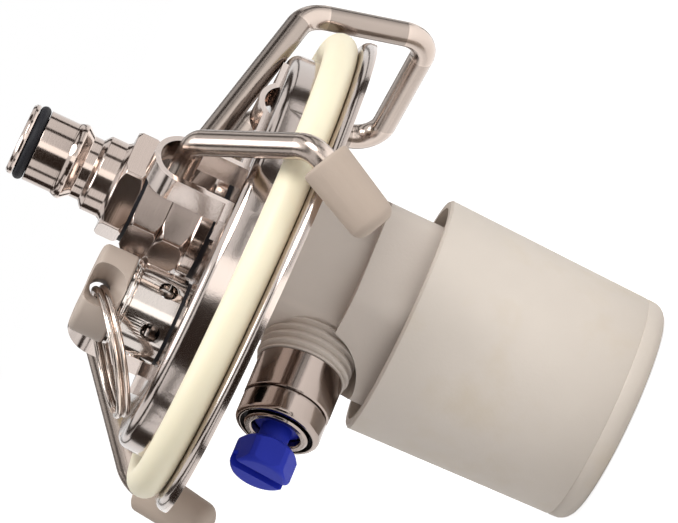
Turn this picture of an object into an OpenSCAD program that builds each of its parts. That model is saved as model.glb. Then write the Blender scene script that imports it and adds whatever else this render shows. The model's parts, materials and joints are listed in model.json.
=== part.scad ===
// Carbonation cap: an oval keg lid with a water inlet post, a float valve,
// a spray nozzle, a relief valve and a wire bail. Millimetres, +Z towards the post.
// The origin is the middle of the lid, in the plane of its sealing ring.

/* [Lid] */
// Length of the lid over its flange
lid_len = 113.8; // [110:0.2:120]
// Width of the lid over its flange
lid_wid = 97.8; // [94:0.2:102]
// Distance of the end arcs' centres from the middle
end_centre = 16; // [13:0.5:20]
// Thickness of the stamped sheet
sheet_t = 1.2; // [0.8:0.1:1.6]
// Height of the raised top over the sealing plane
top_z = 8.6; // [8:0.1:9]
// Depth of the flange's lip under the sealing plane
lip_z = 6.4; // [5.6:0.1:8]

/* [Sealing ring] */
// Radius of the sealing ring's cord
seal_r = 3.5; // [3:0.05:3.8]
// How far the ring stays inside the flange's edge
seal_inset = 0.6; // [0.2:0.1:1.5]

/* [Bail] */
// Radius of the bail's wire
wire_r = 2.7; // [2.3:0.05:3]
// Height of the bail's pivot over the sealing plane
pivot_z = 20.3; // [19.5:0.1:21]
// Distance of each arm from the middle, at the pivot
arm_y = 19.5; // [19:0.1:20]
// Distance of each arm from the middle, at the grip
grip_y = 17.3; // [16:0.1:19]
// Reach of the arms from the middle
arm_reach = 57; // [56:0.5:60]
// Height of the arms where they turn down
arm_end_z = 8.4; // [8:0.1:10]
// Reach of the grip from the middle
grip_reach = 66.4; // [64:0.2:72]
// Height of the grip, under the sealing plane
grip_z = -18.2; // [-24:0.2:-14]
// Radius of a foot's rubber cap at its mouth
foot_r = 5.2; // [4.6:0.1:6]
// Radius of a foot's rubber cap near its tip
foot_tip_r = 4.8; // [4.2:0.1:5.6]
// Length of a foot's rubber cap
foot_len = 16.7; // [12:0.1:17]

/* [Pivot straps] */
// Width of a strap
strap_w = 6; // [4:0.5:7]
// Thickness of a strap
strap_t = 1.2; // [0.8:0.1:1.5]
// Half the width inside a strap's arch
arch_r = 5; // [4.6:0.1:5.4]

/* [Inlet] */
// Place of the inlet and the float valve along the lid
inlet_x = 5.8; // [4:0.2:8]
// Radius of the post's barrel
barrel_r = 7.7; // [7.5:0.05:7.9]
// Radius of the post's neck
neck_r = 6.75; // [6.5:0.05:7]
// Hexagon of the post, across its flats
post_af = 21; // [20:0.25:22]
// Height of the post over its gasket
post_h = 26.8; // [26:0.2:28]

/* [Relief valve] */
// Place of the relief valve along the lid
relief_x = -23.7; // [-25:0.1:-23]
// Radius of the relief valve's body
relief_r = 9.3; // [8.8:0.1:9.6]
// Radius of a vent hole
vent_r = 2; // [1.5:0.1:2.3]
// Number of vent holes
vent_count = 6; // [4:1:6]
// Middle radius of the pull ring
ring_r = 12.85; // [12.4:0.05:13.2]
// Radius of the pull ring's wire
ring_wire_r = 0.75; // [0.6:0.05:0.85]
// How far the pull ring hangs under the horizontal
ring_droop = 35; // [30:1:36]

/* [Float valve] */
// Radius of the valve body
valve_r = 17; // [16:0.2:17.5]
// Turn of the valve's outlet about its axis
outlet_az = 165; // [160:1:175]
// Height of the outlet's axis
outlet_z = -19.8; // [-20:0.1:-19.4]
// Radius of the outlet's thread
outlet_r = 9.95; // [9.6:0.05:10.2]
// Reach of the outlet from the valve's axis
outlet_len = 22; // [21:0.5:26]
// Hexagon collar, across its flats
collar_af = 40.2; // [38:0.2:41]
// Height of the collar's upper face
collar_z = -22.3; // [-23:0.1:-22]

/* [Float] */
// Radius of the float at its rim
float_r = 25.9; // [25.6:0.1:28]
// Radius of the float at its foot
float_foot_r = 24.5; // [23.5:0.1:26]
// Height of the float
float_h = 50.2; // [46:0.2:60]
// Height of the float's rim
float_z = -33.8; // [-34.6:0.1:-33.6]
// Wall of the float
float_t = 1.9; // [1.5:0.1:2]
// Travel of the float
float_travel = 3.5; // [2.5:0.1:3.5]

/* [Spray nozzle] */
// Radius of the steel adapter
adapter_r = 9.15; // [8.8:0.05:9.4]
// Length of the steel adapter outside the outlet
adapter_len = 8.9; // [8:0.1:12]
// Length of the adapter's nose, past its groove
nose_len = 5; // [3:0.1:7]
// Radius of the nozzle's head
nozzle_r = 6.5; // [6:0.1:7.2]
// Width of the screwdriver slot
slot_w = 2.6; // [1.6:0.1:3.2]

/* [Hidden] */
$fn = 72;

steel = [0.78, 0.76, 0.75];
steel_dark = [0.55, 0.53, 0.52];
cream = [0.96, 0.91, 0.75];
grey = [0.74, 0.72, 0.68];
foot_grey = [0.66, 0.59, 0.54];
black = [0.09, 0.09, 0.1];
blue = [0.12, 0.18, 0.65];

// Clearances
seat_gap = 0.1;
thread_gap = 0.05;
pin_gap = 0.15;
slide_gap = 0.3;
weld = 0.01;

// The oval: end arcs centred on the long axis, side arcs centred on the short one
half_len = lid_len / 2;
half_wid = lid_wid / 2;
oval_diff = half_len - half_wid;
side_centre = (2 * oval_diff * end_centre - oval_diff * oval_diff) / (2 * end_centre - 2 * oval_diff);
end_r = half_len - end_centre;
side_r = half_wid + side_centre;
join_a = atan2(side_centre, end_centre);
join_c = cos(join_a);

// Lid profile, as offsets inwards from the flange's edge
seal_off = -seal_inset - seal_r;
wall_off = seal_off - seal_r - seat_gap;
wall_lean = 0.8;
wall_top_off = wall_off - wall_lean;
corner_r = 2.4;
flat_off = wall_top_off - corner_r;
seat_z = -seal_r - seat_gap;
lip_r = 2.2;
top_under = top_z - sheet_t;

// Bail
pivot_gap_x = arch_r - wire_r - pin_gap;
arch_x = -8.4;
pivot_x = arch_x + pivot_gap_x;
arch_z = pivot_z + 0.4;
strap_y = arm_y + wire_r + 0.7;
strap_mid = strap_y + strap_w / 2;
strap_end_x = 29;
strap_heel_x = -19.5;
bump_x = 17.9;
bump_r = 6.2;
bump_h = 3.2;
run_y = strap_y + strap_w + wire_r + 0.9;
knee = [-17.2, 56.4, 0.1];
toe = [-24.3, 51.84, -16.36];
foot_wall = 1.6;
cap_gap = 0.02;

// Inlet stack, from the lid upwards
gasket_t = 0.8;
bulkhead_z = top_z + gasket_t;
flange_t = 2.8;
flange_r = 12.1;
bulk_hex_af = 22.4;
bulk_hex_t = 6.2;
bulk_hex_z = bulkhead_z + flange_t;
bulk_top = bulk_hex_z + bulk_hex_t;
shank_r = 10.3;
shank_len = 18;
water_r = 4;
spigot_r = 7.5;
spigot_len = 5.5;
adapter_h = 6.2;
adapter_af = 21.4;
adapter_z = bulk_top + seat_gap;
post_gasket_t = 0.7;
post_gasket_z = adapter_z + adapter_h;
post_z = post_gasket_z + post_gasket_t;
hex_t = 5;
shoulder_r = 8.25;
post_tip = post_z + post_h;
groove_z = post_tip - 3.9;
groove_t = 2.5;
oring_r = 1.15;
oring_mid = barrel_r + 0.4 - oring_r;
groove_r = oring_mid - oring_r;
chamber_r = 5;
mouth_r = 3.4;
chamber_z = post_z + 0.8;
chamber_top = post_tip - 6.7;
poppet_r = 2.4;
poppet_head_r = 4.4;
poppet_head_z = chamber_top - 3.4;
poppet_seal_z = chamber_top - 1.2;
poppet_gap = 0.05;
poppet_travel = 3;
spring_wire = 0.45;
spring_r = 3.5;

// Relief valve, from the lid upwards
relief_gasket_t = 0.6;
relief_z = top_z + relief_gasket_t;
relief_h = 10.8;
relief_top = relief_z + relief_h;
relief_bore = 7.2;
relief_floor = relief_z + 0.8;
relief_roof = relief_top - 1.2;
relief_spigot_r = 7;
relief_spigot_len = 12;
relief_gas_r = 3.6;
nut_af = 20;
nut_t = 5;
vent_z = relief_z + 3.2;
plunger_z = relief_floor + 1;
plunger_t = 1.3;
plunger_r = 5.4;
stem_r = 2.2;
cap_r = 9.5;
cap_z = relief_top + 0.2;
cap_h = 7.6;
cap_socket = 3.2;
ring_z = cap_z + 4.8;
ring_az = 57;
ring_hole_r = 2.1;
ring_past = 0.2;
ring_pitch = 0.96 * ring_wire_r;
flare_from = 3;
flare_r = 5.1;
relief_travel = 2.5;

// Float valve, under the lid
valve_gasket_t = 1;
valve_top = top_under - valve_gasket_t;
socket_z = bulkhead_z - shank_len - 0.5;
collar_bottom = -35;
collar_fillet = 5.6;
scallop = 1.6;
plug_t = 3;
plug_r = 9;
chamber_low = collar_bottom + plug_t;
valve_chamber_r = 6.2;
seat_pipe_z = -24;
feed_r = 2.4;
outlet_bore = 7.6;
thread_pitch = 1.8;
thread_depth = 0.9;
thread_turns = 4;
tapping = outlet_len - thread_turns * thread_pitch - 0.6;

// Float
deck_t = 2;
hub_len = 5;
hub_t = 2.5;
deck_z = collar_bottom - float_travel - 1.2 - deck_t;
float_bottom = float_z - float_h;
float_floor = 2.2;
float_edge = 2;
rod_r = 3;
rod_top = chamber_low + slide_gap;
rod_head_r = 5;
rod_head_t = 1.5;
pad_r = 4.6;
pad_t = seat_pipe_z - float_travel - 0.2 - (rod_top + rod_head_t);

// Spray nozzle, as distances along the outlet's axis
nozzle_face = outlet_len + seat_gap + adapter_len;
nose_groove = 0.7;
nose_r = adapter_r - 0.1;
nose_face = nozzle_face + nose_groove + nose_len;
recess_t = 3.2;
ring_out_r = 6.9;
ring_in_r = 5.2;
ring_stand = 0.6;
nozzle_neck_r = 3.2;
nozzle_flange_r = 5;
nozzle_head_z = nose_face + 4.2;
nozzle_head_t = 6.6;
slot_turn = -8;
spray_r = 0.6;

function unit(v) = v / norm(v);
function arc(cx, cy, r, from, to, steps) =
    [for (i = [0 : steps]) let (a = from + (to - from) * i / steps) [cx + r * cos(a), cy + r * sin(a)]];
function flip(p) = [p.x, -p.y, p.z];

// Straight round bar between two points
module bar(p, q, r) {
    d = q - p;
    translate(p)
        rotate([0, acos(d.z / norm(d)), atan2(d.y, d.x)])
            cylinder(r = r, h = norm(d));
}

// Bend of a bar at b, on the way from a to c
module bend(a, b, c, bend_r, r) {
    u = unit(a - b);
    v = unit(c - b);
    t = acos(u * v);
    centre = b + unit(u + v) * bend_r / sin(t / 2);
    ex = unit(b + u * bend_r / tan(t / 2) - centre);
    ez = unit(cross(ex, unit(b + v * bend_r / tan(t / 2) - centre)));
    ey = cross(ez, ex);
    translate(centre)
        rotate([atan2(ey.z, ez.z), -asin(ex.z), atan2(ex.y, ex.x)])
            rotate_extrude(angle = 180 - t)
                translate([bend_r, 0])
                    circle(r = r);
}

function setback(a, b, c, bend_r) = bend_r / tan(acos(unit(a - b) * unit(c - b)) / 2);

// Bar bent through a list of points, each inner point with its own bend;
// the straights end a little inside the bends, so that the joints weld cleanly
module bent_bar(pts, bends, r) {
    last = len(pts) - 1;
    lap = 0.05;
    cut = [for (i = [0 : last])
        (i == 0 || i == last) ? 0 : setback(pts[i - 1], pts[i], pts[i + 1], bends[i]) - lap];
    union() {
        for (i = [0 : last - 1]) {
            d = unit(pts[i + 1] - pts[i]);
            bar(pts[i] + d * cut[i], pts[i + 1] - d * cut[i + 1], r - weld);
        }
        for (i = [1 : last - 1])
            bend(pts[i - 1], pts[i], pts[i + 1], bends[i], r);
    }
}

// Coil spring: a tube swept along a helix between two heights
module coil(z0, z1, r, wire, turns, steps = 14, sides = 8) {
    n = turns * steps;
    rise = z1 - z0 - 2 * wire - 0.02;
    pts = [for (i = [0 : n], j = [0 : sides - 1])
        let (a = 360 * i / steps, b = 360 * j / sides)
        [(r + wire * cos(b)) * cos(a), (r + wire * cos(b)) * sin(a),
            z0 + wire + 0.01 + rise * i / n + wire * sin(b)]];
    skin = [for (i = [0 : n - 1], j = [0 : sides - 1])
        let (k = (j + 1) % sides)
        each [[i * sides + j, i * sides + k, (i + 1) * sides + k],
            [i * sides + j, (i + 1) * sides + k, (i + 1) * sides + j]]];
    ends = [for (j = [1 : sides - 2])
        each [[0, j + 1, j], [n * sides, n * sides + j, n * sides + j + 1]]];
    polyhedron(points = pts, faces = concat(skin, ends), convexity = 6);
}

// Hexagon prism with its corners turned off at both ends
module turned_hex(af, h, chamfer = 0.7) {
    r = af / sqrt(3);
    intersection() {
        cylinder(r = r, h = h, $fn = 6);
        rotate_extrude()
            polygon([[0, 0], [r - chamfer - 0.3, 0], [r - 0.25, chamfer],
                [r - 0.25, h - chamfer], [r - chamfer - 0.3, h], [0, h]]);
    }
}

// Ring with a square section
module washer(inner, outer, h) {
    difference() {
        cylinder(r = outer, h = h);
        translate([0, 0, -1])
            cylinder(r = inner, h = h + 2);
    }
}

// Flat oval, moved outwards by off
module oval(off) {
    end_x = end_centre + (end_r + off) * join_c;
    intersection() {
        translate([0, -side_centre])
            circle(r = side_r + off, $fn = 144);
        translate([0, side_centre])
            circle(r = side_r + off, $fn = 144);
        square([2 * end_x, 4 * side_r], center = true);
    }
    for (s = [-1, 1])
        translate([s * end_centre, 0])
            circle(r = end_r + off, $fn = 144);
}

// A profile carried round the oval, arc by arc; the side arcs run a little into the end arcs
module round_oval(lap = 0) {
    for (s = [0, 1]) {
        rotate([0, 0, 180 * s])
            translate([end_centre, 0, 0])
                rotate([0, 0, -join_a])
                    rotate_extrude(angle = 2 * join_a, $fn = 144)
                        translate([end_r, 0]) children(0);
        rotate([0, 0, 180 * s])
            translate([0, -side_centre, 0])
                rotate([0, 0, join_a - lap])
                    rotate_extrude(angle = 180 - 2 * join_a + 2 * lap, $fn = 144)
                        translate([side_r, 0]) children($children - 1);
    }
}

module lid_section() {
    upper = concat(
        [[flat_off - 1, top_z]],
        arc(flat_off, top_z - corner_r, corner_r, 90, 4, 5),
        [[wall_off, seat_z + 0.8], [wall_off + 0.5, seat_z]],
        arc(-lip_r, seat_z - lip_r, lip_r, 90, 0, 5),
        [[0, -lip_z]]);
    lower = concat(
        [[-sheet_t, -lip_z]],
        arc(-lip_r, seat_z - lip_r, lip_r - sheet_t, 0, 90, 5),
        [[wall_off - sheet_t, seat_z - sheet_t]],
        arc(flat_off, top_z - corner_r, corner_r - sheet_t, 4, 90, 5),
        [[flat_off - 1, top_under]]);
    polygon(concat(upper, lower));
}

module lid_shell() {
    color(steel)
        difference() {
            union() {
                round_oval()
                    lid_section();
                translate([0, 0, top_under])
                    linear_extrude(sheet_t)
                        oval(flat_off - 0.5);
            }
            translate([inlet_x, 0, 0])
                cylinder(r = shank_r + 0.3, h = 20);
            translate([relief_x, 0, 0])
                cylinder(r = relief_spigot_r + 0.2, h = 20);
        }
}

module lid_seal() {
    color(cream)
        round_oval(lap = 0.05) {
            translate([seal_off, 0])
                circle(r = seal_r, $fn = 48);
            translate([seal_off, 0])
                circle(r = seal_r - weld, $fn = 48);
        }
}

// Side view of a strap's foot, with its raised rib
module strap_foot() {
    difference() {
        union() {
            translate([strap_heel_x, top_z])
                square([strap_end_x - strap_heel_x, strap_t]);
            translate([bump_x, top_z + bump_h - bump_r])
                circle(r = bump_r);
        }
        translate([arch_x - arch_r, top_z - 1])
            square([2 * arch_r, 10]);
        translate([bump_x, top_z + bump_h - bump_r])
            circle(r = bump_r - strap_t);
        translate([-40, top_z - 20])
            square([80, 20]);
    }
}

module strap(side) {
    color(steel)
        translate([0, side < 0 ? -strap_y : strap_y + strap_w, 0])
            rotate([90, 0, 0])
                union() {
                    linear_extrude(strap_w)
                        strap_foot();
                    for (s = [-1, 1])
                        translate([arch_x + s * (arch_r + strap_t / 2) - strap_t / 2 + weld, top_z, 0])
                            cube([strap_t - 2 * weld, arch_z - top_z + 0.05, strap_w]);
                    translate([arch_x, arch_z, 0])
                        rotate_extrude(angle = 180)
                            translate([arch_r, 0])
                                square([strap_t, strap_w]);
                }
}

module bail_wire() {
    half = [toe, knee, [pivot_x, run_y, pivot_z], [pivot_x, arm_y, pivot_z],
        [arm_reach, grip_y, arm_end_z], [grip_reach, grip_y, grip_z]];
    pts = concat([for (p = half) flip(p)], [for (i = [len(half) - 1 : -1 : 0]) half[i]]);
    turns = [0, 5.6, 6, 3.8, 8, 6];
    bends = concat(turns, [for (i = [len(turns) - 1 : -1 : 0]) turns[i]]);
    color(steel)
        bent_bar(pts, bends, wire_r);
}

module foot_cap(side) {
    leg = toe - knee;
    tip = toe + unit(leg) * foot_wall;
    spin = [0, acos(-leg.z / norm(leg)), atan2(-leg.y, -leg.x)];
    color(foot_grey)
        mirror([0, side < 0 ? 1 : 0, 0])
            translate(tip)
                rotate(spin)
                    difference() {
                        rotate_extrude()
                            polygon(concat([[0, 0]],
                                arc(foot_tip_r - 2.4, 2.4, 2.4, -90, 0, 6),
                                arc(foot_r - 0.8, foot_len - 0.8, 0.8, 0, 90, 3),
                                [[0, foot_len]]));
                        translate([0, 0, foot_wall + cap_gap])
                            cylinder(r = wire_r + cap_gap, h = foot_len);
                    }
}

module post_body() {
    neck_top = post_z + 13.4;
    body_top = post_z + 10;
    color(steel)
        translate([inlet_x, 0, 0])
            difference() {
                union() {
                    translate([0, 0, post_z])
                        turned_hex(post_af, hex_t);
                    rotate_extrude()
                        polygon(concat(
                            [[0, post_z - spigot_len + 1], [spigot_r, post_z - spigot_len + 1],
                                [spigot_r, post_z + 1], [barrel_r + 1.2, post_z + hex_t - 0.2],
                                [shoulder_r, post_z + hex_t + 0.9], [shoulder_r, body_top - 0.5],
                                [shoulder_r - 0.5, body_top], [neck_r, body_top + 0.7]],
                            arc(neck_r + 0.9, body_top + 1.6, 0.9, 180, 180, 1),
                            [[neck_r, neck_top - 0.6], [shoulder_r - 0.4, neck_top + 0.7],
                                [shoulder_r, neck_top + 1.2], [shoulder_r, neck_top + 2],
                                [barrel_r, neck_top + 3.4], [barrel_r, groove_z], [groove_r, groove_z],
                                [groove_r, groove_z + groove_t], [barrel_r, groove_z + groove_t],
                                [barrel_r, post_tip - 0.6], [barrel_r - 0.6, post_tip], [0, post_tip]]));
                }
                rotate_extrude()
                    polygon([[0, 0], [3, 0], [3, chamber_z], [chamber_r, chamber_z], [chamber_r, chamber_top],
                        [mouth_r, chamber_top], [mouth_r, post_tip - 1.2], [mouth_r + 1.6, post_tip + 0.1],
                        [0, post_tip + 0.1]]);
            }
}

module post_oring() {
    color(black)
        translate([inlet_x, 0, groove_z + groove_t / 2])
            rotate_extrude()
                translate([oring_mid, 0])
                    circle(r = oring_r, $fn = 32);
}

module post_gasket() {
    color(black)
        translate([inlet_x, 0, post_gasket_z])
            washer(spigot_r + seat_gap, post_af / 2 + 0.3, post_gasket_t);
}

module post_poppet() {
    color(steel_dark)
        translate([inlet_x, 0, 0])
            rotate_extrude()
                polygon([[0, poppet_head_z - 4], [1.6, poppet_head_z - 4], [1.6, poppet_head_z],
                    [poppet_head_r, poppet_head_z], [poppet_head_r, poppet_seal_z], [poppet_r, poppet_seal_z],
                    [poppet_r, post_tip - 1.4], [poppet_r - 1, post_tip - 0.6], [0, post_tip - 0.6]]);
}

module poppet_seal() {
    color(black)
        translate([inlet_x, 0, poppet_seal_z])
            washer(poppet_r + poppet_gap, poppet_head_r - 0.1, chamber_top - poppet_seal_z - poppet_gap);
}

module post_spring() {
    color(steel)
        translate([inlet_x, 0, 0])
            coil(chamber_z, poppet_head_z, spring_r, spring_wire, 7);
}

module inlet_adapter() {
    color(steel)
        translate([inlet_x, 0, adapter_z])
            difference() {
                union() {
                    rotate([0, 0, 15])
                        turned_hex(adapter_af, adapter_h);
                    translate([0, 0, -spigot_len])
                        cylinder(r = spigot_r, h = spigot_len + 1);
                }
                translate([0, 0, -spigot_len - 1])
                    cylinder(r = water_r, h = 20);
                translate([0, 0, adapter_h - spigot_len])
                    cylinder(r = spigot_r + thread_gap, h = 20);
            }
}

module bulkhead_fitting() {
    color(steel)
        translate([inlet_x, 0, 0])
            difference() {
                union() {
                    translate([0, 0, bulk_hex_z - 0.01])
                        rotate([0, 0, 15])
                            turned_hex(bulk_hex_af, bulk_hex_t + 0.01, 1.2);
                    translate([0, 0, bulkhead_z])
                        rotate_extrude()
                            polygon([[0, 0], [flange_r, 0], [flange_r, flange_t - 0.5],
                                [flange_r - 0.5, flange_t], [0, flange_t]]);
                    translate([0, 0, bulkhead_z - shank_len])
                        cylinder(r = shank_r, h = shank_len + 1);
                }
                translate([0, 0, bulkhead_z - shank_len - 1])
                    cylinder(r = water_r, h = 60);
                translate([0, 0, bulk_top - spigot_len - seat_gap])
                    cylinder(r = spigot_r + thread_gap, h = 20);
            }
}

module bulkhead_gasket() {
    color(black)
        translate([inlet_x, 0, top_z])
            washer(shank_r + seat_gap, flange_r - 0.4, gasket_t);
}

module relief_body() {
    color(steel)
        translate([relief_x, 0, 0])
            difference() {
                rotate_extrude()
                    polygon([[0, relief_z - relief_spigot_len], [relief_spigot_r, relief_z - relief_spigot_len],
                        [relief_spigot_r, relief_z], [relief_r, relief_z], [relief_r, relief_top - 1.6],
                        [relief_r - 0.4, relief_top - 1.4], [relief_r - 0.4, relief_top - 0.9],
                        [relief_r, relief_top - 0.7], [relief_r, relief_top], [0, relief_top]]);
                rotate_extrude()
                    polygon([[0, -20], [relief_gas_r, -20], [relief_gas_r, relief_floor],
                        [relief_bore, relief_floor], [relief_bore, relief_roof], [stem_r + slide_gap, relief_roof],
                        [stem_r + slide_gap, relief_top + 1], [0, relief_top + 1]]);
                for (i = [0 : vent_count - 1])
                    rotate([0, 0, i * 360 / vent_count - 94])
                        translate([5, 0, vent_z])
                            rotate([0, 90, 0])
                                cylinder(r = vent_r, h = 10, $fn = 32);
            }
}

module relief_gasket() {
    color(black)
        translate([relief_x, 0, top_z])
            washer(relief_spigot_r + seat_gap, relief_r - 0.3, relief_gasket_t);
}

module relief_nut() {
    color(steel)
        translate([relief_x, 0, top_under - nut_t])
            difference() {
                rotate([0, 0, 30])
                    turned_hex(nut_af, nut_t);
                translate([0, 0, -1])
                    cylinder(r = relief_spigot_r + thread_gap, h = nut_t + 2);
            }
}

module relief_cap() {
    color(foot_grey)
        translate([relief_x, 0, 0])
            difference() {
                rotate_extrude()
                    polygon(concat([[0, cap_z], [cap_r - 0.4, cap_z], [cap_r, cap_z + 0.4]],
                        arc(cap_r - 1.4, cap_z + cap_h - 1.4, 1.4, 0, 90, 4),
                        [[0, cap_z + cap_h]]));
                translate([0, 0, cap_z - 1])
                    cylinder(r = stem_r + thread_gap, h = cap_socket + 1);
                translate([0, 0, ring_z])
                    rotate([0, 90, ring_az]) {
                        cylinder(r = ring_hole_r, h = 30, center = true);
                        for (s = [0, 1])
                            mirror([0, 0, s])
                                translate([0, 0, flare_from])
                                    cylinder(r1 = ring_hole_r, r2 = flare_r, h = cap_r + 0.3 - flare_from);
                    }
            }
}

module relief_plunger() {
    color(steel_dark)
        translate([relief_x, 0, 0])
            rotate_extrude()
                polygon([[0, plunger_z], [plunger_r, plunger_z], [plunger_r, plunger_z + plunger_t],
                    [stem_r, plunger_z + plunger_t], [stem_r, cap_z + cap_socket - 0.1],
                    [0, cap_z + cap_socket - 0.1]]);
}

module relief_seal() {
    color(black)
        translate([relief_x, 0, relief_floor + 0.05])
            cylinder(r = plunger_r - 0.3, h = plunger_z - relief_floor - 0.05);
}

module relief_spring() {
    color(steel)
        translate([relief_x, 0, 0])
            coil(plunger_z + plunger_t, relief_roof, 4.4, 0.5, 4);
}

// Split ring: two turns of wire side by side, each cut once
module pull_ring() {
    color(steel)
        translate([relief_x, 0, ring_z])
            rotate([0, 0, ring_az + 90])
                rotate([0, ring_droop, 0])
                    translate([ring_r - ring_past, 0, 0])
                        difference() {
                            rotate_extrude()
                                translate([ring_r, 0])
                                    for (s = [-1, 1])
                                        translate([0, s * ring_pitch])
                                            circle(r = ring_wire_r, $fn = 24);
                            for (s = [-1, 1])
                                rotate([0, 0, 24 * s])
                                    translate([ring_r, 0, s * (ring_wire_r + ring_pitch)])
                                        cube([4, 0.5, 2 * ring_wire_r + 0.1], center = true);
                        }
}

module along_outlet() {
    translate([inlet_x, 0, outlet_z])
        rotate([0, 90, outlet_az])
            children();
}

module collar_outline() {
    reach = (collar_af / 2 - collar_fillet) / cos(30);
    for (i = [0 : 5])
        rotate(i * 60)
            translate([reach, 0])
                circle(r = collar_fillet);
    for (i = [0 : 2])
        rotate(i * 60 + 30)
            square([collar_af, reach], center = true);
}

module outlet_thread() {
    crest = [for (i = [0 : thread_turns - 1]) each [
        [outlet_r - thread_depth, tapping + i * thread_pitch + 0.2],
        [outlet_r, tapping + i * thread_pitch + 0.7],
        [outlet_r, tapping + i * thread_pitch + 1.1],
        [outlet_r - thread_depth, tapping + i * thread_pitch + 1.6]]];
    rotate_extrude()
        polygon(concat([[0, 0], [outlet_r, 0], [outlet_r, tapping - 0.6]], crest,
            [[outlet_r - thread_depth, outlet_len - 0.4], [outlet_r - 0.4, outlet_len - 0.3],
                [outlet_r - 0.4, outlet_len], [0, outlet_len]]));
}

module valve_body() {
    color(grey)
        difference() {
            union() {
                translate([inlet_x, 0, collar_z - 1])
                    cylinder(r = valve_r, h = valve_top - collar_z + 1);
                difference() {
                    translate([inlet_x, 0, collar_bottom])
                        rotate([0, 0, outlet_az])
                            linear_extrude(collar_z - collar_bottom)
                                collar_outline();
                    along_outlet()
                        translate([0, 0, tapping - 1.5])
                            cylinder(r = outlet_r + scallop, h = 20);
                }
                along_outlet()
                    outlet_thread();
            }
            translate([inlet_x, 0, socket_z])
                cylinder(r = shank_r + thread_gap, h = 40);
            translate([inlet_x, 0, seat_pipe_z - 1])
                cylinder(r = feed_r, h = 30);
            translate([inlet_x, 0, collar_bottom - 1])
                cylinder(r = valve_chamber_r, h = seat_pipe_z - collar_bottom + 1);
            translate([inlet_x, 0, collar_bottom - 1])
                cylinder(r = plug_r + thread_gap, h = plug_t + 1);
            along_outlet()
                translate([0, 0, 5])
                    cylinder(r = 4.4, h = 30);
            along_outlet()
                translate([0, 0, outlet_len - 9.6])
                    cylinder(r = outlet_bore, h = 30);
        }
}

module valve_gasket() {
    color(black)
        translate([inlet_x, 0, valve_top])
            washer(shank_r + seat_gap, valve_r - 1.5, valve_gasket_t);
}

// Screwed plug that guides the float's stem and holds its head
module valve_plug() {
    color(grey)
        translate([inlet_x, 0, collar_bottom])
            washer(rod_r + slide_gap, plug_r, plug_t);
}

module float_cup() {
    rim_in = float_r - float_t;
    foot_in = float_foot_r - float_t;
    color(grey)
        translate([inlet_x, 0, 0])
            rotate_extrude()
                polygon(concat(
                    [[0, float_bottom]],
                    arc(float_foot_r - float_edge, float_bottom + float_edge, float_edge, -90, 0, 5),
                    [[float_r, float_z - 0.5], [float_r - 0.5, float_z], [rim_in, float_z],
                        [foot_in, float_bottom + float_floor + 1.5], [foot_in - 1.5, float_bottom + float_floor],
                        [0, float_bottom + float_floor]]));
}

// Sealed deck inside the float, under the collar
module float_deck() {
    slope = (float_r - float_foot_r) / (float_h - float_edge);
    function inside(z) = float_r - float_t - slope * (float_z - z) - seat_gap;
    color(grey)
        translate([inlet_x, 0, 0])
            rotate_extrude()
                polygon([[rod_r + thread_gap, deck_z - hub_len], [rod_r + hub_t, deck_z - hub_len], [rod_r + hub_t, deck_z],
                    [inside(deck_z), deck_z], [inside(deck_z), deck_z + deck_t],
                    [rod_r + thread_gap, deck_z + deck_t]]);
}

module float_stem() {
    color(steel_dark)
        translate([inlet_x, 0, 0])
            rotate_extrude()
                polygon([[0, deck_z - hub_len], [rod_r, deck_z - hub_len], [rod_r, rod_top], [rod_head_r, rod_top],
                    [rod_head_r, rod_top + rod_head_t], [0, rod_top + rod_head_t]]);
}

module float_seal() {
    color(black)
        translate([inlet_x, 0, rod_top + rod_head_t])
            cylinder(r = pad_r, h = pad_t);
}

module nozzle_adapter() {
    tail = outlet_len - 9;
    color(steel)
        along_outlet()
            difference() {
                rotate_extrude()
                    polygon(concat([[0, tail], [outlet_bore - thread_gap, tail],
                        [outlet_bore - thread_gap, outlet_len + seat_gap],
                        [adapter_r, outlet_len + seat_gap],
                        [adapter_r, nozzle_face - 0.3], [adapter_r - 0.3, nozzle_face],
                        [nose_r - 0.8, nozzle_face], [nose_r - 0.8, nozzle_face + nose_groove],
                        [nose_r, nozzle_face + nose_groove]],
                        arc(nose_r - 1, nose_face - 1, 1, 0, 90, 4),
                        [[0, nose_face]]));
                translate([0, 0, tail - 1])
                    cylinder(r = nozzle_flange_r + seat_gap, h = 40);
                translate([0, 0, nose_face - recess_t])
                    cylinder(r = ring_out_r + 0.9, h = 10);
            }
}

module nozzle_oring() {
    color(black)
        along_outlet()
            translate([0, 0, nose_face - recess_t])
                washer(ring_out_r + 0.05, ring_out_r + 0.85, 1.4);
}

module nozzle_ring() {
    h = recess_t + ring_stand;
    color(steel)
        along_outlet()
            translate([0, 0, nose_face - recess_t])
                rotate_extrude()
                    polygon([[ring_in_r, 0], [ring_out_r, 0], [ring_out_r, h - 0.4],
                        [ring_out_r - 0.4, h], [ring_in_r + 0.3, h], [ring_in_r, h - 0.3]]);
}

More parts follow.
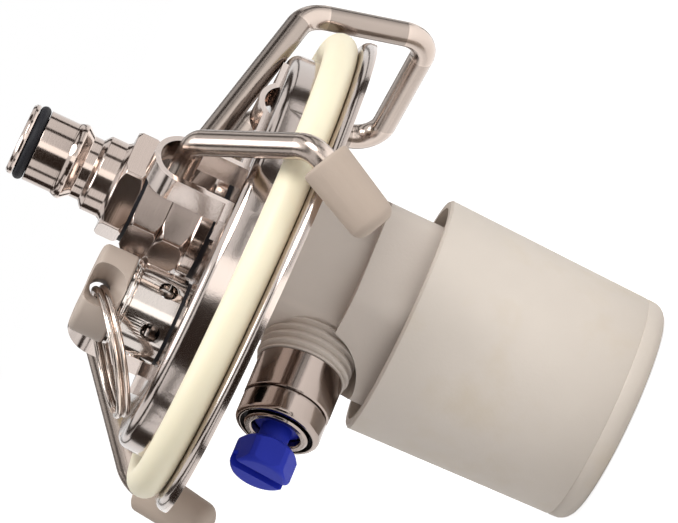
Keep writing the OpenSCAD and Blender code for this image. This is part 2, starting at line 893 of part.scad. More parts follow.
module spray_nozzle() {
    tail = nose_face - 10;
    color(blue)
        along_outlet()
            difference() {
                union() {
                    rotate_extrude()
                        polygon([[0, tail], [nozzle_flange_r, tail], [nozzle_flange_r, nose_face - 1.2],
                            [nozzle_neck_r, nose_face - 0.6], [nozzle_neck_r, nozzle_head_z + 1],
                            [0, nozzle_head_z + 1]]);
                    translate([0, 0, nozzle_head_z])
                        intersection() {
                            cylinder(r = nozzle_r + 0.4, h = nozzle_head_t, $fn = 6);
                            rotate_extrude()
                                polygon(concat([[0, 0], [nozzle_r - 1, 0], [nozzle_r, 1]],
                                    arc(nozzle_r - 1.4, nozzle_head_t - 1.4, 1.4, 0, 90, 4),
                                    [[0, nozzle_head_t]]));
                        }
                }
                translate([0, 0, nozzle_head_z + nozzle_head_t])
                    rotate([0, 0, slot_turn])
                        cube([4 * nozzle_r, slot_w, 5], center = true);
                cylinder(r = spray_r, h = 80, $fn = 24);
            }
}

lid_shell();
lid_seal();
strap(-1);  // strap_near
strap(1);  // strap_far
bail_wire();
foot_cap(-1);  // foot_cap_near
foot_cap(1);  // foot_cap_far
post_body();
post_oring();
post_gasket();
post_poppet();
poppet_seal();
post_spring();
inlet_adapter();
bulkhead_fitting();
bulkhead_gasket();
relief_body();
relief_gasket();
relief_nut();
relief_cap();
relief_plunger();
relief_seal();
relief_spring();
pull_ring();
valve_body();
valve_gasket();
valve_plug();
float_cup();
float_deck();
float_stem();
float_seal();
nozzle_adapter();
nozzle_ring();
nozzle_oring();
spray_nozzle();
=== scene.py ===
import json
import math

import bpy
from mathutils import Matrix, Vector


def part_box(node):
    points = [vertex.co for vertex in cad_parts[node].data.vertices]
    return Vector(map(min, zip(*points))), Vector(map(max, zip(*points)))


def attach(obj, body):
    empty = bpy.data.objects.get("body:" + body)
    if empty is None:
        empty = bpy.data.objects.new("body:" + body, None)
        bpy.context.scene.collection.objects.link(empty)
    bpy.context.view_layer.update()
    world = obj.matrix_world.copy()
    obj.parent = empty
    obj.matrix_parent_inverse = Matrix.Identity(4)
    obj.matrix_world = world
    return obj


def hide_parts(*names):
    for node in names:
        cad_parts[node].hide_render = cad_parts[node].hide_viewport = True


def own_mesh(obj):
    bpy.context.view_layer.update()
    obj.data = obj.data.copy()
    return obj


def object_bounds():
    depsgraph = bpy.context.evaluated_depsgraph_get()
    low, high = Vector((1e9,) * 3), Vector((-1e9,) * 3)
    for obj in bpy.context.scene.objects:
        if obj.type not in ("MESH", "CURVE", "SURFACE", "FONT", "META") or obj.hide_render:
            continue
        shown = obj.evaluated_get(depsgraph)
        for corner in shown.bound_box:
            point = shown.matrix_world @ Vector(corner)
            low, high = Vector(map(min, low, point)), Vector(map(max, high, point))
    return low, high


mm = 0.001
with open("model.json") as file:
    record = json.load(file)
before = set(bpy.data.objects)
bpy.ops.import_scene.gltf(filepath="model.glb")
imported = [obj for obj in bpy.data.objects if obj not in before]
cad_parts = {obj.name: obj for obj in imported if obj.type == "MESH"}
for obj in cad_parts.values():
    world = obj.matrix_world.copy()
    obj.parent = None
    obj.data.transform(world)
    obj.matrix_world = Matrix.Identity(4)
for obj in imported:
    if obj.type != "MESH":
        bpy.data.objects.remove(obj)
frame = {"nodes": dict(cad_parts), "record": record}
nodes = frame["nodes"]
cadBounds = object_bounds()
scene = bpy.context.scene
scene.view_settings.view_transform = "Standard"


# node groups shared by several finishes


def newGroup(name, inputs, outputs):
    group = bpy.data.node_groups.new(name, "ShaderNodeTree")
    for label, kind, value in inputs:
        socket = group.interface.new_socket(name=label, in_out="INPUT", socket_type=kind)
        socket.default_value = value
    for label, kind in outputs:
        group.interface.new_socket(name=label, in_out="OUTPUT", socket_type=kind)
    return group, group.nodes.new("NodeGroupInput"), group.nodes.new("NodeGroupOutput")


def mathNode(tree, operation, first, second=None, clamp=False):
    node = tree.nodes.new("ShaderNodeMath")
    node.operation = operation
    node.use_clamp = clamp
    for slot, value in enumerate((first, second)):
        if value is None:
            continue
        if isinstance(value, (int, float)):
            node.inputs[slot].default_value = value
        else:
            tree.links.new(value, node.inputs[slot])
    return node.outputs[0]


def noiseNode(tree, vector, scale, detail=3.0, rough=0.55):
    node = tree.nodes.new("ShaderNodeTexNoise")
    node.inputs["Detail"].default_value = detail
    node.inputs["Roughness"].default_value = rough
    if isinstance(scale, (int, float)):
        node.inputs["Scale"].default_value = scale
    else:
        tree.links.new(scale, node.inputs["Scale"])
    tree.links.new(vector, node.inputs["Vector"])
    return node.outputs["Fac"]


def mixColour(tree, factor, first, second):
    node = tree.nodes.new("ShaderNodeMix")
    node.data_type = "RGBA"
    if isinstance(factor, (int, float)):
        node.inputs["Factor"].default_value = factor
    else:
        tree.links.new(factor, node.inputs["Factor"])
    for label, value in (("A", first), ("B", second)):
        socket = [s for s in node.inputs if s.name == label and s.type == "RGBA"][0]
        if isinstance(value, tuple):
            socket.default_value = value
        else:
            tree.links.new(value, socket)
    return [s for s in node.outputs if s.type == "RGBA"][0]


def buildWearAndCornerShade():
    # masks from the bend of the surface: edges, brightened as wear, and corners, darkened as painted shade
    group, entry, leave = newGroup(
        "edgeWearAndCornerShade",
        [("Strength", "NodeSocketFloat", 1.0)],
        [("Edge", "NodeSocketFloat"), ("Corner Shade", "NodeSocketFloat")],
    )
    geometry = group.nodes.new("ShaderNodeNewGeometry")
    point = geometry.outputs["Pointiness"]
    edge = mathNode(group, "MULTIPLY", mathNode(group, "SUBTRACT", point, 0.52), 9.0, True)
    corner = mathNode(group, "MULTIPLY", mathNode(group, "SUBTRACT", 0.48, point), 9.0, True)
    strength = entry.outputs["Strength"]
    group.links.new(mathNode(group, "MULTIPLY", edge, strength), leave.inputs["Edge"])
    group.links.new(mathNode(group, "MULTIPLY", corner, strength), leave.inputs["Corner Shade"])
    return group


def buildGrain():
    # fine speckle over slow, cloudy change
    group, entry, leave = newGroup(
        "fineGrain",
        [("Fine Scale", "NodeSocketFloat", 900.0), ("Cloud Scale", "NodeSocketFloat", 60.0)],
        [("Fine", "NodeSocketFloat"), ("Cloud", "NodeSocketFloat")],
    )
    place = group.nodes.new("ShaderNodeTexCoord").outputs["Object"]
    fine = noiseNode(group, place, entry.outputs["Fine Scale"], 2.0)
    cloud = noiseNode(group, place, entry.outputs["Cloud Scale"], 4.0)
    group.links.new(fine, leave.inputs["Fine"])
    group.links.new(cloud, leave.inputs["Cloud"])
    return group


def buildTurning():
    # lines that a lathe tool leaves round an upright axis
    group, entry, leave = newGroup(
        "turningMarks",
        [("Scale", "NodeSocketFloat", 2500.0)],
        [("Lines", "NodeSocketFloat")],
    )
    place = group.nodes.new("ShaderNodeTexCoord").outputs["Object"]
    stretch = group.nodes.new("ShaderNodeMapping")
    stretch.inputs["Scale"].default_value = (0.03, 0.03, 1.0)
    group.links.new(place, stretch.inputs["Vector"])
    lines = noiseNode(group, stretch.outputs["Vector"], entry.outputs["Scale"], 2.0)
    group.links.new(lines, leave.inputs["Lines"])
    return group


wearAndShadeGroup = buildWearAndCornerShade()
grainGroup = buildGrain()
turningGroup = buildTurning()


def placeGroup(tree, group, **values):
    node = tree.nodes.new("ShaderNodeGroup")
    node.node_tree = group
    for label, value in values.items():
        node.inputs[label.replace("_", " ")].default_value = value
    return node


def startMaterial(name):
    material = bpy.data.materials.new(name)
    material.use_nodes = True
    tree = material.node_tree
    shader = [n for n in tree.nodes if n.type == "BSDF_PRINCIPLED"][0]
    return material, tree, shader


def bumpInto(tree, shader, height, strength):
    bump = tree.nodes.new("ShaderNodeBump")
    bump.inputs["Strength"].default_value = strength
    bump.inputs["Distance"].default_value = bumpDepth
    tree.links.new(height, bump.inputs["Height"])
    tree.links.new(bump.outputs["Normal"], shader.inputs["Normal"])


def shade(colour, factor):
    return tuple(min(1.0, c * factor) for c in colour[:3]) + (1.0,)


# how far each tone is from the finish's own colour
tones = dict(
    steelLow=0.86, steelHigh=1.1, steelCornerShade=0.4, steelEdge=1.25, steelShadeBelow=0.25,
    plasticCornerShade=0.72, plasticEdge=1.08,
)
bumpDepth = 0.0002
glowDepth = (0.002, 0.0015, 0.001)


def heightOf(tree):
    place = tree.nodes.new("ShaderNodeTexCoord").outputs["Object"]
    split = tree.nodes.new("ShaderNodeSeparateXYZ")
    tree.links.new(place, split.inputs[0])
    return split.outputs["Z"]


def steelFinish(name, colour, rough, look):
    material, tree, shader = startMaterial(name)
    grain = placeGroup(tree, grainGroup, Fine_Scale=look["fine"], Cloud_Scale=look["cloud"])
    wearAndShade = placeGroup(tree, wearAndShadeGroup, Strength=look["wearAndShade"])
    pale, deep = shade(colour, tones["steelHigh"]), shade(colour, tones["steelLow"])
    base = mixColour(tree, grain.outputs["Cloud"], deep, pale)
    # painted shade: corners are darkened where less light would reach them
    base = mixColour(tree, wearAndShade.outputs["Corner Shade"], base, shade(colour, tones["steelCornerShade"]))
    base = mixColour(tree, wearAndShade.outputs["Edge"], base, shade(colour, tones["steelEdge"]))
    if look.get("shadeBelowHeight"):
        # painted shade: steel below the lid's underside is darkened as if in the lid's shade
        low = mathNode(tree, "LESS_THAN", heightOf(tree), look["shadeBelowHeight"])
        share = mathNode(tree, "MULTIPLY", low, look["shadeBelowShare"])
        base = mixColour(tree, share, base, shade(colour, tones["steelShadeBelow"]))
    tree.links.new(base, shader.inputs["Base Color"])
    shader.inputs["Metallic"].default_value = 1.0
    spread = mathNode(tree, "MULTIPLY", grain.outputs["Cloud"], look["spread"])
    tree.links.new(mathNode(tree, "ADD", spread, rough), shader.inputs["Roughness"])
    if look.get("turned"):
        marks = placeGroup(tree, turningGroup, Scale=look["turned"])
        height = marks.outputs["Lines"]
    else:
        height = grain.outputs["Fine"]
    bumpInto(tree, shader, height, look["bump"])
    return material


def plasticFinish(name, colour, rough, look):
    material, tree, shader = startMaterial(name)
    grain = placeGroup(tree, grainGroup, Fine_Scale=look["fine"], Cloud_Scale=look["cloud"])
    wearAndShade = placeGroup(tree, wearAndShadeGroup, Strength=look["wearAndShade"])
    patch = look.get("patch", 0.05)
    base = mixColour(tree, grain.outputs["Cloud"], shade(colour, 1 - patch), shade(colour, 1 + patch))
    if look.get("stain"):
        place = tree.nodes.new("ShaderNodeTexCoord").outputs["Object"]
        spots = noiseNode(tree, place, look["stainScale"], 4.0)
        spots = mathNode(tree, "SUBTRACT", spots, look["stainFrom"])
        spots = mathNode(tree, "MULTIPLY", spots, look["stainGain"], True)
        share = mathNode(tree, "MULTIPLY", spots, look["stainShare"])
        base = mixColour(tree, share, base, look["stain"])
    # painted shade: corners are darkened where less light would reach them
    base = mixColour(tree, wearAndShade.outputs["Corner Shade"], base, shade(colour, tones["plasticCornerShade"]))
    base = mixColour(tree, wearAndShade.outputs["Edge"], base, shade(colour, tones["plasticEdge"]))
    tree.links.new(base, shader.inputs["Base Color"])
    shader.inputs["Metallic"].default_value = 0.0
    shader.inputs["Specular IOR Level"].default_value = look.get("specular", 0.5)
    shader.inputs["Subsurface Weight"].default_value = look.get("glow", 0.0)
    shader.inputs["Subsurface Radius"].default_value = glowDepth
    spread = mathNode(tree, "MULTIPLY", grain.outputs["Fine"], look["spread"])
    tree.links.new(mathNode(tree, "ADD", spread, rough), shader.inputs["Roughness"])
    bumpInto(tree, shader, grain.outputs["Fine"], look["bump"])
    return material


# looks: noise scales per metre, then shares of wear and painted corner shade, roughness and bump
polished = dict(fine=1400.0, cloud=45.0, wearAndShade=0.7, spread=0.08, bump=0.04)
turned = dict(
    fine=1400.0, cloud=70.0, wearAndShade=0.9, spread=0.07, bump=0.035, turned=3200.0, shadeBelowHeight=-0.005, shadeBelowShare=0.6,
)
bright = dict(fine=1600.0, cloud=60.0, wearAndShade=0.8, spread=0.08, bump=0.03)
matt = dict(fine=1500.0, cloud=50.0, wearAndShade=0.8, spread=0.12, bump=0.16)
stained = dict(
    fine=1500.0, cloud=28.0, wearAndShade=0.8, spread=0.12, bump=0.16, patch=0.11,
    stain=(0.66, 0.57, 0.45, 1), stainScale=62.0, stainFrom=0.53, stainGain=5.0, stainShare=0.5,
)
nylon = dict(fine=900.0, cloud=60.0, wearAndShade=0.6, spread=0.10, bump=0.05, glow=0.02, specular=0.22)
rubber = dict(fine=1500.0, cloud=50.0, wearAndShade=0.5, spread=0.12, bump=0.12, specular=0.22)
smooth = dict(fine=900.0, cloud=40.0, wearAndShade=0.5, spread=0.10, bump=0.06, glow=0.08)

finishes = {
    "polished_steel": steelFinish("polishedSteel", (0.57, 0.495, 0.455), 0.10, polished),
    "wire_steel": steelFinish("wireSteel", (0.51, 0.43, 0.38), 0.18, bright),
    "turned_steel": steelFinish("turnedSteel", (0.57, 0.475, 0.425), 0.10, turned),
    "bright_steel": steelFinish("brightSteel", (0.64, 0.58, 0.54), 0.08, bright),
    "dark_steel": steelFinish("darkSteel", (0.34, 0.29, 0.26), 0.25, turned),
    "spring_steel": steelFinish("springSteel", (0.56, 0.48, 0.43), 0.13, bright),
    "seal_cream": plasticFinish("sealCream", (0.95, 0.87, 0.66), 0.42, smooth),
    "foot_rubber": plasticFinish("footRubber", (0.475, 0.385, 0.32), 0.62, matt),
    "black_rubber": plasticFinish("blackRubber", (0.014, 0.014, 0.018), 0.5, rubber),
    "cap_plastic": plasticFinish("capPlastic", (0.48, 0.40, 0.345), 0.5, matt),
    "body_plastic": plasticFinish("bodyPlastic", (0.69, 0.62, 0.56), 0.48, matt),
    "float_plastic": plasticFinish("floatPlastic", (0.695, 0.63, 0.565), 0.55, stained),
    "nozzle_blue": plasticFinish("nozzleBlue", (0.016, 0.032, 0.46), 0.42, nylon),
}
print("finishes made")

slotOf = {row["node"]: row["material_slot"] for row in frame["record"]["subparts"]}
bodyOf = {n: body for body, names in frame["record"]["behaviour"]["bodies"].items() for n in names}
for name, thing in nodes.items():
    thing.data.materials.clear()
    thing.data.materials.append(finishes[slotOf[name]])


# smooth skins over the CAD nodes


def selectOnly(thing):
    bpy.ops.object.select_all(action="DESELECT")
    thing.select_set(True)
    bpy.context.view_layer.objects.active = thing


def dress(piece, node):
    # the piece stands for the CAD node, with its finish, and rides on its body
    piece.data.materials.clear()
    piece.data.materials.append(finishes[slotOf[node]])
    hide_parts(node)
    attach(piece, bodyOf[node])


skinWork = dict(weld=0.000002, flat=0.4, bevelAngle=35, bevelSteps=2, weight=90)


def smoothSkin(node, name, angle, bevel=0.0):
    # the node's own shape, welded, with smooth shading and softly broken edges
    source = nodes[node]
    skin = source.copy()
    skin.data = source.data.copy()
    skin.name = skin.data.name = name
    skin.parent = None
    for key in list(skin.keys()):
        del skin[key]
    scene.collection.objects.link(skin)
    selectOnly(skin)
    bpy.ops.object.mode_set(mode="EDIT")
    bpy.ops.mesh.select_all(action="SELECT")
    bpy.ops.mesh.remove_doubles(threshold=skinWork["weld"])
    bpy.ops.mesh.customdata_custom_splitnormals_clear()
    bpy.ops.mesh.dissolve_limited(angle_limit=math.radians(skinWork["flat"]))
    bpy.ops.object.mode_set(mode="OBJECT")
    if bevel:
        rim = skin.modifiers.new("softEdges", "BEVEL")
        rim.width = bevel
        rim.segments = skinWork["bevelSteps"]
        rim.limit_method = "ANGLE"
        rim.angle_limit = math.radians(skinWork["bevelAngle"])
        rim.use_clamp_overlap = True
        bpy.ops.object.modifier_apply(modifier=rim.name)
    bpy.ops.object.shade_smooth_by_angle(angle=math.radians(angle))
    if bevel:
        level = skin.modifiers.new("levelFaces", "WEIGHTED_NORMAL")
        level.keep_sharp = True
        level.weight = skinWork["weight"]
        bpy.ops.object.modifier_apply(modifier=level.name)
    dress(skin, node)
    return skin


# node: name, shading angle in degrees, width of the softened edge in millimetres
skins = {
    "lid_shell": ("lidSkin", 32, 0.0),
    "bail_wire": ("bailSkin", 50, 0.0),
    "foot_cap_near": ("footSkinNear", 50, 0.0),
    "foot_cap_far": ("footSkinFar", 50, 0.0),
    "strap_near": ("strapSkinNear", 30, 0.12),
    "strap_far": ("strapSkinFar", 30, 0.12),
    "post_body": ("postSkin", 28, 0.12),
    "post_oring": ("postRingSkin", 50, 0.0),
    "inlet_adapter": ("adapterSkin", 28, 0.15),
    "bulkhead_fitting": ("bulkheadSkin", 28, 0.15),
    "relief_body": ("reliefSkin", 28, 0.1),
    "relief_cap": ("capSkin", 32, 0.25),
    "valve_body": ("valveSkin", 32, 0.0),
    "nozzle_adapter": ("outletSkin", 28, 0.12),
    "nozzle_ring": ("outletRingSkin", 28, 0.1),
    "spray_nozzle": ("nozzleSkin", 28, 0.15),
}
for node, (name, angle, bevel) in skins.items():
    smoothSkin(node, name, angle, bevel * mm)
print("skins made")

# springs: each gets a smooth skin with a mesh of its own

springs = {
    "post_spring": dict(name="poppetSpring", joint="poppet_press", travel=3.0, still="foot"),
    "relief_spring": dict(name="reliefSpring", joint="relief_lift", travel=2.5, still="head"),
}
for node, facts in springs.items():
    low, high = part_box(node)
    coil = smoothSkin(node, facts["name"], 60)
    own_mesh(coil)
print("springs made")

# float cup: turned from its profile, with the moulding line round its foot

floatCup = dict(
    centre=(5.8, 0.0), rim=25.9, foot=24.5, wall=1.9, floor=2.2, edge=3.0, lip=0.5,
    innerEdge=1.5, lineAt=4.2, lineGap=0.35, lineDepth=0.22, sides=128,
)


def turnShell(name, centre, profile, sides):
    # a closed turned shape: a filled ring, drawn out along the profile and filled again
    x, y = (v * mm for v in centre)
    bpy.ops.object.select_all(action="DESELECT")
    bpy.ops.mesh.primitive_circle_add(
        vertices=sides, radius=profile[0][0] * mm, fill_type="NGON", location=(x, y, profile[0][1] * mm)
    )
    shell = bpy.context.active_object
    bpy.ops.object.transform_apply(location=True, rotation=True, scale=True)
    shell.name = shell.data.name = name
    bpy.ops.object.mode_set(mode="EDIT")
    bpy.ops.mesh.select_mode(type="EDGE")
    bpy.ops.mesh.select_all(action="SELECT")
    for (radius, height), (nextRadius, nextHeight) in zip(profile, profile[1:]):
        bpy.ops.mesh.extrude_edges_move()
        ratio = nextRadius / radius
        bpy.ops.transform.resize(value=(ratio, ratio, 1), center_override=(x, y, height * mm))
        bpy.ops.transform.translate(value=(0, 0, (nextHeight - height) * mm))
    bpy.ops.mesh.edge_face_add()
    bpy.ops.mesh.select_all(action="SELECT")
    bpy.ops.mesh.normals_make_consistent(inside=False)
    bpy.ops.object.mode_set(mode="OBJECT")
    bpy.ops.object.shade_smooth_by_angle(angle=math.radians(40))
    return shell


def cupProfile():
    # radius and height from the foot's middle, up the outside and down the inside
    bottom, top = (corner.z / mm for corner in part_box("float_cup"))
    foot, rim, edge, wall = (floatCup[k] for k in ("foot", "rim", "edge", "wall"))
    lip = floatCup["lip"]
    for step in range(7):
        angle = math.radians(-90 + 15 * step)
        yield foot - edge + edge * math.cos(angle), bottom + edge + edge * math.sin(angle)
    slope = (rim - foot) / (top - lip - bottom - edge)
    for step, cut in ((0, 0.0), (1, floatCup["lineDepth"]), (2, 0.0)):
        height = floatCup["lineAt"] + step * floatCup["lineGap"]
        yield foot + slope * (height - edge) - cut, bottom + height
    for part in (0.25, 0.5, 0.75, 1.0):
        height = bottom + floatCup["lineAt"] + 1 + part * (top - lip - bottom - floatCup["lineAt"] - 1)
        yield foot + slope * (height - bottom - edge), height
    yield rim - lip, top
    yield rim - wall, top
    yield foot - wall, bottom + floatCup["floor"] + floatCup["innerEdge"]
    yield foot - wall - floatCup["innerEdge"], bottom + floatCup["floor"]


cupPiece = turnShell("turnedCup", floatCup["centre"], list(cupProfile()), floatCup["sides"])
dress(cupPiece, "float_cup")
print("float cup made")

# sealing ring: one endless cord round the oval

sealRing = dict(length=105.6, width=89.6, endCentre=16.0, cord=3.5, endSteps=36, sideSteps=48)
halfLength = sealRing["length"] / 2
halfWidth = sealRing["width"] / 2
endCentre = sealRing["endCentre"]
spare = halfLength - halfWidth
sideCentre = (2 * spare * endCentre - spare * spare) / (2 * endCentre - 2 * spare)
joinAngle = math.atan2(sideCentre, endCentre)


def sealPoints():
    # end, side, end, side, each an arc about its own centre
    endRadius, sideRadius = halfLength - endCentre, halfWidth + sideCentre
    endSteps, sideSteps = sealRing["endSteps"], sealRing["sideSteps"]
    arcs = [
        ((endCentre, 0.0), endRadius, -joinAngle, joinAngle, endSteps),
        ((0.0, -sideCentre), sideRadius, joinAngle, math.pi - joinAngle, sideSteps),
        ((-endCentre, 0.0), endRadius, math.pi - joinAngle, math.pi + joinAngle, endSteps),
        ((0.0, sideCentre), sideRadius, math.pi + joinAngle, 2 * math.pi - joinAngle, sideSteps),
    ]
    for (x, y), radius, first, final, steps in arcs:
        for step in range(steps):
            angle = first + (final - first) * step / steps
            yield (x + radius * math.cos(angle)) * mm, (y + radius * math.sin(angle)) * mm


cord = bpy.data.curves.new("sealRing", "CURVE")
cord.dimensions = "3D"
cord.bevel_depth = sealRing["cord"] * mm
cord.bevel_resolution = 10
places = list(sealPoints())
line = cord.splines.new("POLY")
line.use_cyclic_u = True
line.points.add(len(places) - 1)
for point, (x, y) in zip(line.points, places):
    point.co = (x, y, 0.0, 1.0)
sealPiece = bpy.data.objects.new("sealRing", cord)
scene.collection.objects.link(sealPiece)
selectOnly(sealPiece)
bpy.ops.object.convert(target="MESH")
sealPiece = bpy.context.active_object
bpy.ops.object.shade_smooth_by_angle(angle=math.radians(60))
dress(sealPiece, "lid_seal")
print("sealing ring made")

# pull ring: two turns of wire with cut ends

splitRing = dict(
    hole=(-23.7, 0.0, 25.0), holeTurn=57.0, droop=35.0, past=0.2,
    radius=12.85, wire=0.75, pitch=0.72, start=24.0, crossing=26.0,
    # the wire's first end and its whole sweep, in degrees, in this many steps
    firstEnd=6, sweep=708, steps=132,
)
holeTurn = math.radians(splitRing["holeTurn"])
droop = math.radians(splitRing["droop"])
lean = Vector((-math.sin(holeTurn) * math.cos(droop), math.cos(holeTurn) * math.cos(droop), -math.sin(droop)))
side = Vector((math.cos(holeTurn), math.sin(holeTurn), 0.0))
across = lean.cross(side)
ringCentre = Vector(splitRing["hole"]) + lean * (splitRing["radius"] - splitRing["past"])


def ringPoint(turn):
    crossing = splitRing["crossing"]
    part = min(1.0, max(0.0, (turn - 360 + crossing / 2) / crossing))
    part = part * part * (3 - 2 * part)
    angle = math.radians(turn + splitRing["start"])
    flat = splitRing["radius"] * (math.cos(angle) * lean + math.sin(angle) * side)
    return (ringCentre + flat + across * splitRing["pitch"] * (2 * part - 1)) * mm


wireCurve = bpy.data.curves.new("splitRing", "CURVE")
wireCurve.dimensions = "3D"
wireCurve.bevel_depth = splitRing["wire"] * mm
wireCurve.bevel_resolution = 5
wireCurve.use_fill_caps = True
line = wireCurve.splines.new("POLY")
last = splitRing["steps"]
line.points.add(last)
for number in range(last + 1):
    spot = ringPoint(splitRing["firstEnd"] + number * (splitRing["sweep"] / last))
    line.points[number].co = (spot.x, spot.y, spot.z, 1.0)
ringPiece = bpy.data.objects.new("splitRing", wireCurve)
scene.collection.objects.link(ringPiece)
selectOnly(ringPiece)
bpy.ops.object.convert(target="MESH")
ringPiece = bpy.context.active_object
bpy.ops.object.shade_smooth_by_angle(angle=math.radians(40))
dress(ringPiece, "pull_ring")
print("pull ring made")

# spot welds on the straps' feet

weldMark = dict(
    radius=1.45, height=0.14, rim=0.35, dip=0.1, lift=-0.05, sides=28,
    # the strap's sheet, and the places along it
    sheet=1.2, places=(-17.2, 1.6, 8.2, 26.6),
)
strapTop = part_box("strap_near")[0].z + weldMark["sheet"] * mm
strapMiddle = (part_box("strap_far")[0].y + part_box("strap_far")[1].y) / 2


def makeWeld(name):
    bpy.ops.object.select_all(action="DESELECT")
    bpy.ops.mesh.primitive_cylinder_add(
        vertices=weldMark["sides"], radius=weldMark["radius"] * mm,
        depth=weldMark["height"] * mm, location=(0, 0, 0),
    )
    mark = bpy.context.active_object
    mark.name = mark.data.name = name
    bpy.ops.object.mode_set(mode="EDIT")
    bpy.ops.mesh.select_all(action="DESELECT")
    bpy.ops.mesh.select_mode(type="FACE")
    bpy.ops.object.mode_set(mode="OBJECT")
    for face in mark.data.polygons:
        face.select = face.normal.z > 0.9
    bpy.ops.object.mode_set(mode="EDIT")
    bpy.ops.mesh.inset(thickness=weldMark["rim"] * mm)
    bpy.ops.transform.translate(value=(0, 0, -weldMark["dip"] * mm))
    bpy.ops.mesh.inset(thickness=weldMark["rim"] * mm)
    bpy.ops.transform.translate(value=(0, 0, -weldMark["dip"] * 0.3 * mm))
    bpy.ops.object.mode_set(mode="OBJECT")
    bpy.ops.object.shade_smooth_by_angle(angle=math.radians(50))
    return mark


def copyTo(thing, name, offset):
    other = thing.copy()
    other.data = thing.data.copy()
    other.name = other.data.name = name
    other.data.transform(Matrix.Translation(offset))
    scene.collection.objects.link(other)
    return other


firstWeld = makeWeld("weldMark")
for number, place in enumerate(weldMark["places"]):
    for word, sign in (("Near", -1), ("Far", 1)):
        spot = Vector((place * mm, sign * strapMiddle, strapTop + weldMark["lift"] * mm))
        mark = copyTo(firstWeld, f"weldMark{word}{number}", spot)
        mark.data.materials.append(finishes["polished_steel"])
        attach(mark, "lid")
bpy.data.objects.remove(firstWeld)
print("spot welds made")

# camera

# axes of the picture before its roll, and the point looked at, in millimetres
view = dict(
    along=(0.7193, -0.6947, 0.0),
    upward=(0.0521, 0.0539, 0.9972),
    toward=(-0.6927, -0.7173, 0.0750),
    aimAlong=8.7,
    aimUp=-17.8,
    distance=1000.0,
    lens=258.6,
    roll=65.0,
)
along, upward, toward = (Vector(view[k]) for k in ("along", "upward", "toward"))
roll = math.radians(view["roll"])
right = (math.cos(roll) * along - math.sin(roll) * upward).normalized()
toward = (toward - toward.dot(right) * right).normalized()
up = toward.cross(right).normalized()
aim = (view["aimAlong"] * along + view["aimUp"] * upward) * mm
turn = Matrix((right, up, toward)).transposed().to_4x4()
lens = bpy.data.cameras.new("camera")
lens.lens = view["lens"]
lens.sensor_width = 36.0
lens.clip_start = 0.05
lens.clip_end = 20.0
camera = bpy.data.objects.new("camera", lens)
camera.matrix_world = Matrix.Translation(aim + toward * view["distance"] * mm) @ turn
scene.collection.objects.link(camera)
scene.camera = camera

# floor, world and lamps

floorFacts = dict(size=8.0, drop=0.0002, colour=(0.86, 0.86, 0.86, 1), glow=0.8)
floorMaterial = bpy.data.materials.new("paleFloor")
floorMaterial.use_nodes = True
tree = floorMaterial.node_tree
tree.nodes.clear()
output = tree.nodes.new("ShaderNodeOutputMaterial")
diffuse = tree.nodes.new("ShaderNodeBsdfDiffuse")
diffuse.inputs["Color"].default_value = floorFacts["colour"]
glow = tree.nodes.new("ShaderNodeEmission")
glow.inputs["Color"].default_value = (1, 1, 1, 1)
rays = tree.nodes.new("ShaderNodeLightPath")
seen = mathNode(tree, "MAXIMUM", rays.outputs["Is Camera Ray"], rays.outputs["Is Glossy Ray"])
seen = mathNode(tree, "MAXIMUM", seen, rays.outputs["Is Transmission Ray"])
tree.links.new(mathNode(tree, "MULTIPLY", seen, floorFacts["glow"]), glow.inputs["Strength"])
both = tree.nodes.new("ShaderNodeAddShader")
tree.links.new(diffuse.outputs[0], both.inputs[0])
tree.links.new(glow.outputs[0], both.inputs[1])
tree.links.new(both.outputs[0], output.inputs["Surface"])

bpy.ops.object.select_all(action="DESELECT")
floorZ = cadBounds[0][2] - floorFacts["drop"]
bpy.ops.mesh.primitive_plane_add(size=floorFacts["size"], location=(0, 0, floorZ))
floor = bpy.context.active_object
floor.name = "floor"
floor.data.materials.append(floorMaterial)

world = bpy.data.worlds.new("studio")
scene.world = world
world.use_nodes = True
tree = world.node_tree
tree.nodes.clear()
studio = dict(fill=0.37, background=1.0)
output = tree.nodes.new("ShaderNodeOutputWorld")
fill = tree.nodes.new("ShaderNodeBackground")
fill.inputs["Color"].default_value = (1, 0.985, 0.97, 1)
fill.inputs["Strength"].default_value = studio["fill"]
plain = tree.nodes.new("ShaderNodeBackground")
plain.inputs["Color"].default_value = (1, 1, 1, 1)
plain.inputs["Strength"].default_value = studio["background"]
rays = tree.nodes.new("ShaderNodeLightPath")
seen = mathNode(tree, "MAXIMUM", rays.outputs["Is Camera Ray"], rays.outputs["Is Glossy Ray"])
seen = mathNode(tree, "MAXIMUM", seen, rays.outputs["Is Transmission Ray"])
mixer = tree.nodes.new("ShaderNodeMixShader")
tree.links.new(seen, mixer.inputs["Fac"])
tree.links.new(fill.outputs[0], mixer.inputs[1])
tree.links.new(plain.outputs[0], mixer.inputs[2])
tree.links.new(mixer.outputs[0], output.inputs["Surface"])

# cards round the set, seen only in the metal's shine

cards = dict(
    reach=0.9,
    hoopReach=0.945,
    matLift=0.001,
    dark=(0.035, 0.025, 0.02, 1),
    bright=(1.9, 1.86, 1.8, 1),
    # azimuth and half width in degrees, lower and upper edge in metres
    upright=[
        ("dark", -158, 22, -0.2, 0.5), ("bright", -125, 9, -0.2, 0.5), ("dark", 104, 13, -0.2, 0.3),
        ("dark", -72, 5, -0.2, 0.6), ("dark", -20, 6, -0.2, 0.6), ("dark", 150, 5, -0.2, 0.6),
    ],
    # lower and upper edge
    hoops=[(0.12, 0.17), (0.34, 0.52), (0.95, 1.5)],
    # on the floor: middle, size and turn
    flat=[
        ((-0.20, -0.16), (0.08, 0.5), 44),
        ((-0.36, -0.30), (0.10, 0.7), 44),
        ((0.16, 0.22), (0.12, 0.7), 44),
    ],
)


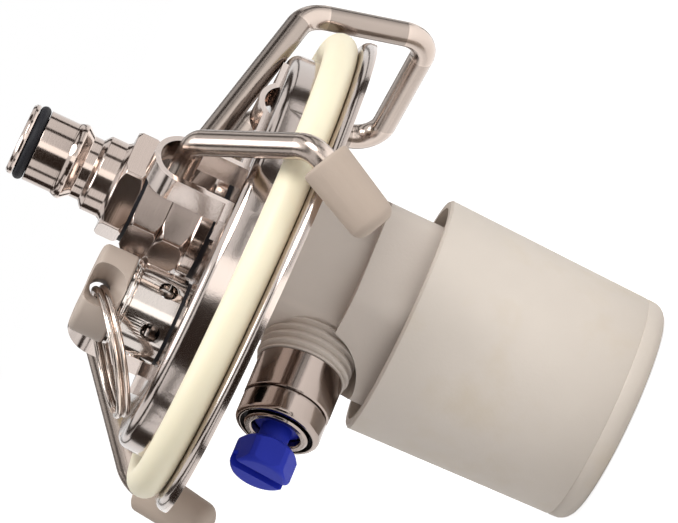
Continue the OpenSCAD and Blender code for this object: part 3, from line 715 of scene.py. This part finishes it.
def cardMaterial(name, colour):
    material = bpy.data.materials.new(name)
    material.use_nodes = True
    tree = material.node_tree
    tree.nodes.clear()
    output = tree.nodes.new("ShaderNodeOutputMaterial")
    soft = tree.nodes.new("ShaderNodeEmission")
    soft.inputs["Color"].default_value = colour
    tree.links.new(soft.outputs[0], output.inputs["Surface"])
    return material


cardPaint = {kind: cardMaterial(f"{kind}Card", cards[kind]) for kind in ("dark", "bright")}


def finishCard(card, name, kind="dark"):
    card.name = name
    card.data.materials.append(cardPaint[kind])
    card.visible_camera = False
    card.visible_diffuse = False
    card.visible_transmission = False
    card.visible_shadow = False


for number, (kind, azimuth, halfWidth, low, high) in enumerate(cards["upright"]):
    reach = cards["reach"]
    width = 2 * reach * math.tan(math.radians(halfWidth))
    turnCard = math.radians(azimuth)
    bpy.ops.object.select_all(action="DESELECT")
    bpy.ops.mesh.primitive_plane_add(
        size=1.0,
        location=(reach * math.cos(turnCard), reach * math.sin(turnCard), (low + high) / 2),
        rotation=(math.pi / 2, 0, turnCard + math.pi / 2),
    )
    card = bpy.context.active_object
    card.scale = (width, high - low, 1.0)
    finishCard(card, f"card{number}", kind)
for number, (low, high) in enumerate(cards["hoops"]):
    bpy.ops.object.select_all(action="DESELECT")
    bpy.ops.mesh.primitive_cylinder_add(
        vertices=64, radius=cards["hoopReach"], depth=high - low,
        end_fill_type="NOTHING", location=(0, 0, (low + high) / 2),
    )
    finishCard(bpy.context.active_object, f"hoop{number}")
for number, (middle, size, turnFlat) in enumerate(cards["flat"]):
    bpy.ops.object.select_all(action="DESELECT")
    bpy.ops.mesh.primitive_plane_add(
        size=1.0,
        location=(middle[0], middle[1], floorZ + cards["matLift"]),
        rotation=(0, 0, math.radians(turnFlat)),
    )
    card = bpy.context.active_object
    card.scale = (size[0], size[1], 1.0)
    finishCard(card, f"mat{number}")


def addLamp(name, place, size, power, colour):
    lamp = bpy.data.lights.new(name, "AREA")
    lamp.shape = "DISK"
    lamp.size = size
    lamp.energy = power
    lamp.color = colour
    thing = bpy.data.objects.new(name, lamp)
    place = Vector(place)
    thing.matrix_world = Matrix.Translation(place) @ (-place).to_track_quat("-Z", "Y").to_matrix().to_4x4()
    scene.collection.objects.link(thing)


addLamp("keyLamp", (-0.09, -0.72, 0.58), 0.5, 5.8, (1.0, 0.985, 0.96))
addLamp("topLamp", (-0.15, 0.1, 0.95), 0.5, 3.0, (1.0, 1.0, 1.0))
print("studio made")
